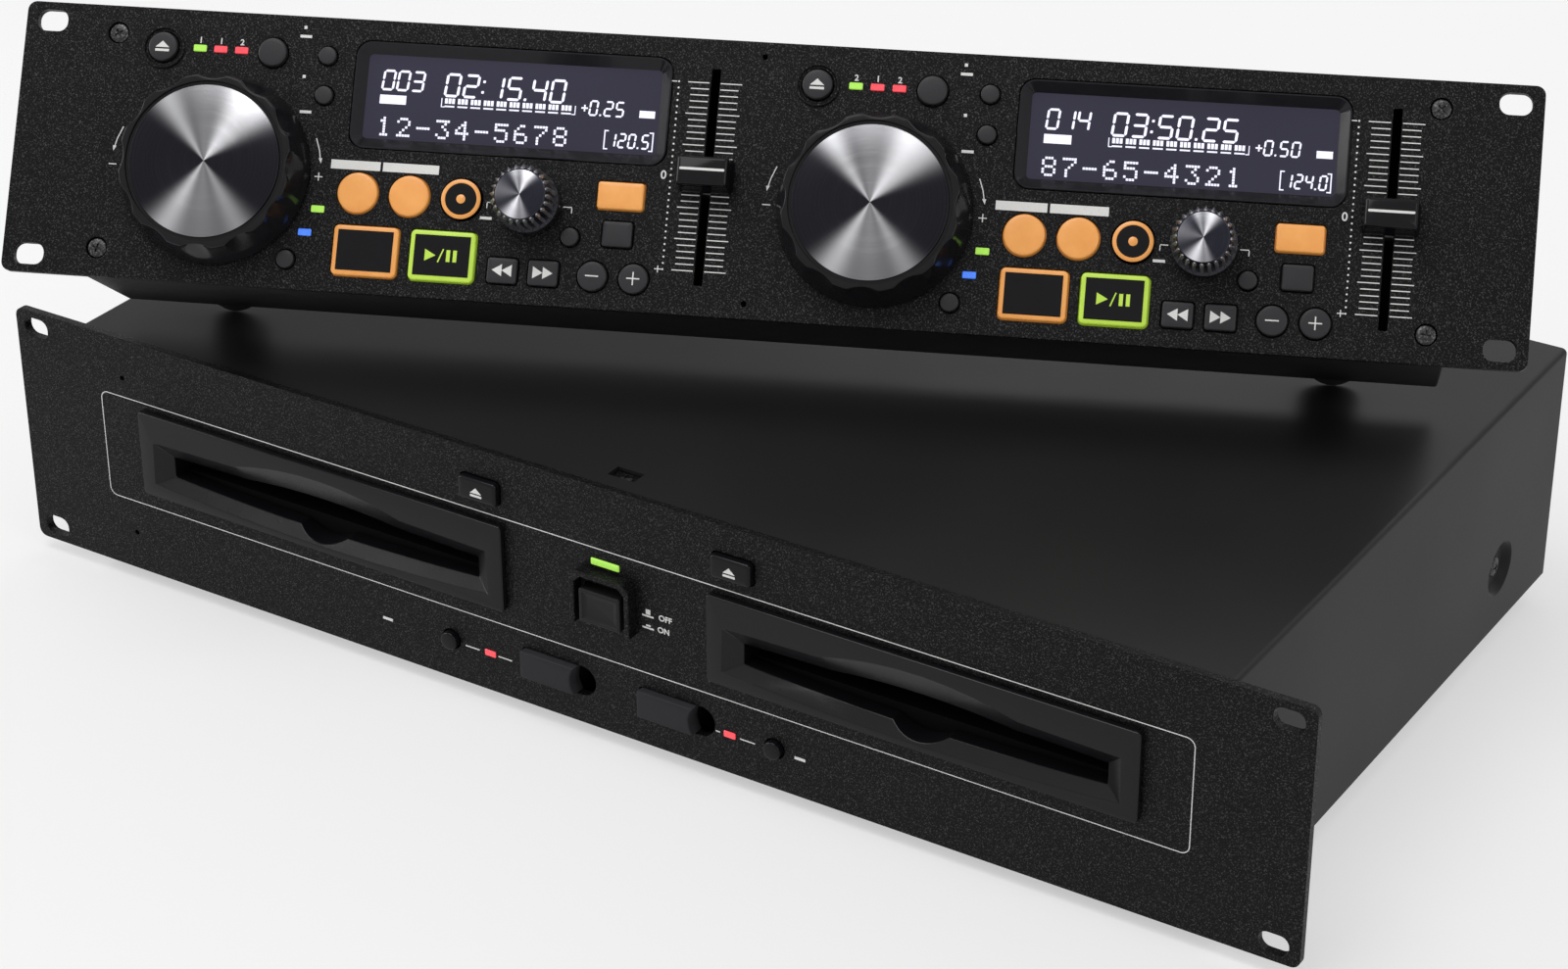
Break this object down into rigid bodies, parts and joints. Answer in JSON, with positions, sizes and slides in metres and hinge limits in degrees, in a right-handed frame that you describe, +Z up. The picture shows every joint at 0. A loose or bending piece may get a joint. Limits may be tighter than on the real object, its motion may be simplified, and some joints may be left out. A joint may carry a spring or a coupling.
{
  "type": "dual disc player with control unit",
  "caption": "Rack-mount DJ disc player with slot-in drives, and its control unit leaning on top, with jog wheels, displays, tempo faders and transport keys.",
  "frame": {"origin": "middle of the bounding box's bottom, on the surface that the player stands on", "axes": "+X to the right along the player's panel, +Y from the panel to the rear, +Z up"},
  "size_m": [0.4826, 0.2947, 0.2038],
  "materials": {
    "amber_key": "lit amber, translucent",
    "bezel_plastic": "moulded, satin black",
    "cap_rubber": "soft dark grey",
    "chassis_steel": "black coated sheet, satin",
    "cover_paint": "smooth black paint, satin",
    "display_glass": "dark clear window in a black frame",
    "drive_black": "black moulded housing",
    "gloss_black": "polished black",
    "green_key": "lit yellow-green frame, translucent",
    "jog_plastic": "polished black with a spun metal plate",
    "key_plastic": "moulded, satin dark grey",
    "knob_plastic": "black with a spun metal face",
    "panel_paint": "fine-grain black paint, satin",
    "shaft_steel": "turned"
  },
  "bodies": {
    "player": {"player_panel": "panel_paint", "player_cover": "cover_paint", "player_chassis": "chassis_steel", "slot_bezel_1": "bezel_plastic", "slot_bezel_2": "bezel_plastic", "disc_drive_1": "drive_black", "disc_drive_2": "drive_black"},
    "control_unit": {"control_panel": "panel_paint", "control_case": "chassis_steel", "display_1": "display_glass", "display_2": "display_glass"},
    "back_key_1": {"back_key_1": "key_plastic"},
    "back_key_2": {"back_key_2": "key_plastic"},
    "bend_down_key_1": {"bend_down_key_1": "key_plastic"},
    "bend_down_key_2": {"bend_down_key_2": "key_plastic"},
    "bend_up_key_1": {"bend_up_key_1": "key_plastic"},
    "bend_up_key_2": {"bend_up_key_2": "key_plastic"},
    "cue_key_1": {"cue_key_1": "amber_key"},
    "cue_key_2": {"cue_key_2": "amber_key"},
    "display_key_1": {"display_key_1": "key_plastic"},
    "display_key_2": {"display_key_2": "key_plastic"},
    "eject_key_1": {"eject_key_1": "key_plastic"},
    "eject_key_2": {"eject_key_2": "key_plastic"},
    "jog_mode_key_1": {"jog_mode_key_1": "key_plastic"},
    "jog_mode_key_2": {"jog_mode_key_2": "key_plastic"},
    "jog_wheel_1": {"jog_wheel_1": "jog_plastic"},
    "jog_wheel_2": {"jog_wheel_2": "jog_plastic"},
    "loop_in_key_1": {"loop_in_key_1": "amber_key"},
    "loop_in_key_2": {"loop_in_key_2": "amber_key"},
    "loop_out_key_1": {"loop_out_key_1": "amber_key"},
    "loop_out_key_2": {"loop_out_key_2": "amber_key"},
    "play_key_1": {"play_key_1": "green_key"},
    "play_key_2": {"play_key_2": "green_key"},
    "player_eject_1": {"player_eject_1": "gloss_black"},
    "player_eject_2": {"player_eject_2": "gloss_black"},
    "reloop_key_1": {"reloop_key_1": "gloss_black"},
    "reloop_key_2": {"reloop_key_2": "gloss_black"},
    "search_back_key_1": {"search_back_key_1": "key_plastic"},
    "search_back_key_2": {"search_back_key_2": "key_plastic"},
    "search_on_key_1": {"search_on_key_1": "key_plastic"},
    "search_on_key_2": {"search_on_key_2": "key_plastic"},
    "selector_knob_1": {"selector_knob_1": "knob_plastic"},
    "selector_knob_2": {"selector_knob_2": "knob_plastic"},
    "selector_shaft_1": {"selector_shaft_1": "shaft_steel"},
    "selector_shaft_2": {"selector_shaft_2": "shaft_steel"},
    "source_key_1": {"source_key_1": "key_plastic"},
    "source_key_2": {"source_key_2": "key_plastic"},
    "tempo_fader_1": {"tempo_fader_1": "gloss_black"},
    "tempo_fader_2": {"tempo_fader_2": "gloss_black"},
    "tempo_lock_key_1": {"tempo_lock_key_1": "amber_key"},
    "tempo_lock_key_2": {"tempo_lock_key_2": "amber_key"},
    "tempo_range_key_1": {"tempo_range_key_1": "key_plastic"},
    "tempo_range_key_2": {"tempo_range_key_2": "key_plastic"},
    "time_key_1": {"time_key_1": "key_plastic"},
    "time_key_2": {"time_key_2": "key_plastic"},
    "usb_cap_1": {"usb_cap_1": "cap_rubber"},
    "usb_cap_2": {"usb_cap_2": "cap_rubber"},
    "usb_stop_1": {"usb_stop_1": "gloss_black"},
    "usb_stop_2": {"usb_stop_2": "gloss_black"},
    "power_button": {"power_button": "key_plastic"}
  },
  "joints": [
    {"name": "control_unit_lift", "type": "slide", "parent": "player", "child": "control_unit", "axis": [0, 0, 1], "range_m": [0, 0.06]},
    {"name": "jog_wheel_1_turn", "type": "hinge", "parent": "control_unit", "child": "jog_wheel_1", "pos_m": [-0.15327, -0.10134, 0.16165], "axis": [0.3265, -0.7553, 0.5683], "continuous": true},
    {"name": "jog_wheel_2_turn", "type": "hinge", "parent": "control_unit", "child": "jog_wheel_2", "pos_m": [0.04147, -0.01715, 0.16165], "axis": [0.3265, -0.7553, 0.5683], "continuous": true},
    {"name": "tempo_fader_1_slide", "type": "slide", "parent": "control_unit", "child": "tempo_fader_1", "axis": [-0.2255, 0.5216, 0.8228], "range_m": [-0.03, 0.03]},
    {"name": "tempo_fader_2_slide", "type": "slide", "parent": "control_unit", "child": "tempo_fader_2", "axis": [-0.2255, 0.5216, 0.8228], "range_m": [-0.03, 0.03]},
    {"name": "usb_cap_1_pull", "type": "slide", "parent": "player", "child": "usb_cap_1", "axis": [0, -1, 0], "range_m": [0, 0.02]},
    {"name": "usb_cap_2_pull", "type": "slide", "parent": "player", "child": "usb_cap_2", "axis": [0, -1, 0], "range_m": [0, 0.02]},
    {"name": "power_push", "type": "slide", "parent": "player", "child": "power_button", "axis": [0, 1, 0], "range_m": [0, 0.003], "stiffness_N_per_m": 600},
    {"name": "player_eject_1_push", "type": "slide", "parent": "player", "child": "player_eject_1", "axis": [0, 1, 0], "range_m": [0, 0.001], "stiffness_N_per_m": 600},
    {"name": "player_eject_2_push", "type": "slide", "parent": "player", "child": "player_eject_2", "axis": [0, 1, 0], "range_m": [0, 0.001], "stiffness_N_per_m": 600},
    {"name": "selector_shaft_1_push", "type": "slide", "parent": "control_unit", "child": "selector_shaft_1", "axis": [-0.3265, 0.7553, -0.5683], "range_m": [0, 0.001], "stiffness_N_per_m": 900},
    {"name": "selector_shaft_2_push", "type": "slide", "parent": "control_unit", "child": "selector_shaft_2", "axis": [-0.3265, 0.7553, -0.5683], "range_m": [0, 0.001], "stiffness_N_per_m": 900},
    {"name": "selector_knob_1_turn", "type": "hinge", "parent": "selector_shaft_1", "child": "selector_knob_1", "pos_m": [-0.05787, -0.06302, 0.15777], "axis": [0.3265, -0.7553, 0.5683], "continuous": true},
    {"name": "selector_knob_2_turn", "type": "hinge", "parent": "selector_shaft_2", "child": "selector_knob_2", "pos_m": [0.13686, 0.02117, 0.15777], "axis": [0.3265, -0.7553, 0.5683], "continuous": true},
    {"name": "play_key_1_push", "type": "slide", "parent": "control_unit", "child": "play_key_1", "axis": [-0.3265, 0.7553, -0.5683], "range_m": [0, 0.0008], "stiffness_N_per_m": 600},
    {"name": "play_key_2_push", "type": "slide", "parent": "control_unit", "child": "play_key_2", "axis": [-0.3265, 0.7553, -0.5683], "range_m": [0, 0.0008], "stiffness_N_per_m": 600},
    {"name": "cue_key_1_push", "type": "slide", "parent": "control_unit", "child": "cue_key_1", "axis": [-0.3265, 0.7553, -0.5683], "range_m": [0, 0.0008], "stiffness_N_per_m": 600},
    {"name": "cue_key_2_push", "type": "slide", "parent": "control_unit", "child": "cue_key_2", "axis": [-0.3265, 0.7553, -0.5683], "range_m": [0, 0.0008], "stiffness_N_per_m": 600},
    {"name": "eject_key_1_push", "type": "slide", "parent": "control_unit", "child": "eject_key_1", "axis": [-0.3265, 0.7553, -0.5683], "range_m": [0, 0.0008], "stiffness_N_per_m": 600},
    {"name": "eject_key_2_push", "type": "slide", "parent": "control_unit", "child": "eject_key_2", "axis": [-0.3265, 0.7553, -0.5683], "range_m": [0, 0.0008], "stiffness_N_per_m": 600},
    {"name": "loop_in_key_1_push", "type": "slide", "parent": "control_unit", "child": "loop_in_key_1", "axis": [-0.3265, 0.7553, -0.5683], "range_m": [0, 0.0008], "stiffness_N_per_m": 600},
    {"name": "loop_in_key_2_push", "type": "slide", "parent": "control_unit", "child": "loop_in_key_2", "axis": [-0.3265, 0.7553, -0.5683], "range_m": [0, 0.0008], "stiffness_N_per_m": 600},
    {"name": "loop_out_key_1_push", "type": "slide", "parent": "control_unit", "child": "loop_out_key_1", "axis": [-0.3265, 0.7553, -0.5683], "range_m": [0, 0.0008], "stiffness_N_per_m": 600},
    {"name": "loop_out_key_2_push", "type": "slide", "parent": "control_unit", "child": "loop_out_key_2", "axis": [-0.3265, 0.7553, -0.5683], "range_m": [0, 0.0008], "stiffness_N_per_m": 600},
    {"name": "reloop_key_1_push", "type": "slide", "parent": "control_unit", "child": "reloop_key_1", "axis": [-0.3265, 0.7553, -0.5683], "range_m": [0, 0.0008], "stiffness_N_per_m": 600},
    {"name": "reloop_key_2_push", "type": "slide", "parent": "control_unit", "child": "reloop_key_2", "axis": [-0.3265, 0.7553, -0.5683], "range_m": [0, 0.0008], "stiffness_N_per_m": 600},
    {"name": "tempo_lock_key_1_push", "type": "slide", "parent": "control_unit", "child": "tempo_lock_key_1", "axis": [-0.3265, 0.7553, -0.5683], "range_m": [0, 0.0008], "stiffness_N_per_m": 600},
    {"name": "tempo_lock_key_2_push", "type": "slide", "parent": "control_unit", "child": "tempo_lock_key_2", "axis": [-0.3265, 0.7553, -0.5683], "range_m": [0, 0.0008], "stiffness_N_per_m": 600},
    {"name": "tempo_range_key_1_push", "type": "slide", "parent": "control_unit", "child": "tempo_range_key_1", "axis": [-0.3265, 0.7553, -0.5683], "range_m": [0, 0.0008], "stiffness_N_per_m": 600},
    {"name": "tempo_range_key_2_push", "type": "slide", "parent": "control_unit", "child": "tempo_range_key_2", "axis": [-0.3265, 0.7553, -0.5683], "range_m": [0, 0.0008], "stiffness_N_per_m": 600},
    {"name": "search_back_key_1_push", "type": "slide", "parent": "control_unit", "child": "search_back_key_1", "axis": [-0.3265, 0.7553, -0.5683], "range_m": [0, 0.0008], "stiffness_N_per_m": 600},
    {"name": "search_back_key_2_push", "type": "slide", "parent": "control_unit", "child": "search_back_key_2", "axis": [-0.3265, 0.7553, -0.5683], "range_m": [0, 0.0008], "stiffness_N_per_m": 600},
    {"name": "search_on_key_1_push", "type": "slide", "parent": "control_unit", "child": "search_on_key_1", "axis": [-0.3265, 0.7553, -0.5683], "range_m": [0, 0.0008], "stiffness_N_per_m": 600},
    {"name": "search_on_key_2_push", "type": "slide", "parent": "control_unit", "child": "search_on_key_2", "axis": [-0.3265, 0.7553, -0.5683], "range_m": [0, 0.0008], "stiffness_N_per_m": 600},
    {"name": "bend_down_key_1_push", "type": "slide", "parent": "control_unit", "child": "bend_down_key_1", "axis": [-0.3265, 0.7553, -0.5683], "range_m": [0, 0.0008], "stiffness_N_per_m": 600},
    {"name": "bend_down_key_2_push", "type": "slide", "parent": "control_unit", "child": "bend_down_key_2", "axis": [-0.3265, 0.7553, -0.5683], "range_m": [0, 0.0008], "stiffness_N_per_m": 600},
    {"name": "bend_up_key_1_push", "type": "slide", "parent": "control_unit", "child": "bend_up_key_1", "axis": [-0.3265, 0.7553, -0.5683], "range_m": [0, 0.0008], "stiffness_N_per_m": 600},
    {"name": "bend_up_key_2_push", "type": "slide", "parent": "control_unit", "child": "bend_up_key_2", "axis": [-0.3265, 0.7553, -0.5683], "range_m": [0, 0.0008], "stiffness_N_per_m": 600},
    {"name": "source_key_1_push", "type": "slide", "parent": "control_unit", "child": "source_key_1", "axis": [-0.3265, 0.7553, -0.5683], "range_m": [0, 0.0008], "stiffness_N_per_m": 600},
    {"name": "source_key_2_push", "type": "slide", "parent": "control_unit", "child": "source_key_2", "axis": [-0.3265, 0.7553, -0.5683], "range_m": [0, 0.0008], "stiffness_N_per_m": 600},
    {"name": "time_key_1_push", "type": "slide", "parent": "control_unit", "child": "time_key_1", "axis": [-0.3265, 0.7553, -0.5683], "range_m": [0, 0.0008], "stiffness_N_per_m": 600},
    {"name": "time_key_2_push", "type": "slide", "parent": "control_unit", "child": "time_key_2", "axis": [-0.3265, 0.7553, -0.5683], "range_m": [0, 0.0008], "stiffness_N_per_m": 600},
    {"name": "display_key_1_push", "type": "slide", "parent": "control_unit", "child": "display_key_1", "axis": [-0.3265, 0.7553, -0.5683], "range_m": [0, 0.0008], "stiffness_N_per_m": 600},
    {"name": "display_key_2_push", "type": "slide", "parent": "control_unit", "child": "display_key_2", "axis": [-0.3265, 0.7553, -0.5683], "range_m": [0, 0.0008], "stiffness_N_per_m": 600},
    {"name": "jog_mode_key_1_push", "type": "slide", "parent": "control_unit", "child": "jog_mode_key_1", "axis": [-0.3265, 0.7553, -0.5683], "range_m": [0, 0.0008], "stiffness_N_per_m": 600},
    {"name": "jog_mode_key_2_push", "type": "slide", "parent": "control_unit", "child": "jog_mode_key_2", "axis": [-0.3265, 0.7553, -0.5683], "range_m": [0, 0.0008], "stiffness_N_per_m": 600},
    {"name": "back_key_1_push", "type": "slide", "parent": "control_unit", "child": "back_key_1", "axis": [-0.3265, 0.7553, -0.5683], "range_m": [0, 0.0008], "stiffness_N_per_m": 600},
    {"name": "back_key_2_push", "type": "slide", "parent": "control_unit", "child": "back_key_2", "axis": [-0.3265, 0.7553, -0.5683], "range_m": [0, 0.0008], "stiffness_N_per_m": 600},
    {"name": "usb_stop_1_push", "type": "slide", "parent": "player", "child": "usb_stop_1", "axis": [0, 1, 0], "range_m": [0, 0.001], "stiffness_N_per_m": 600},
    {"name": "usb_stop_2_push", "type": "slide", "parent": "player", "child": "usb_stop_2", "axis": [0, 1, 0], "range_m": [0, 0.001], "stiffness_N_per_m": 600}
  ]
}
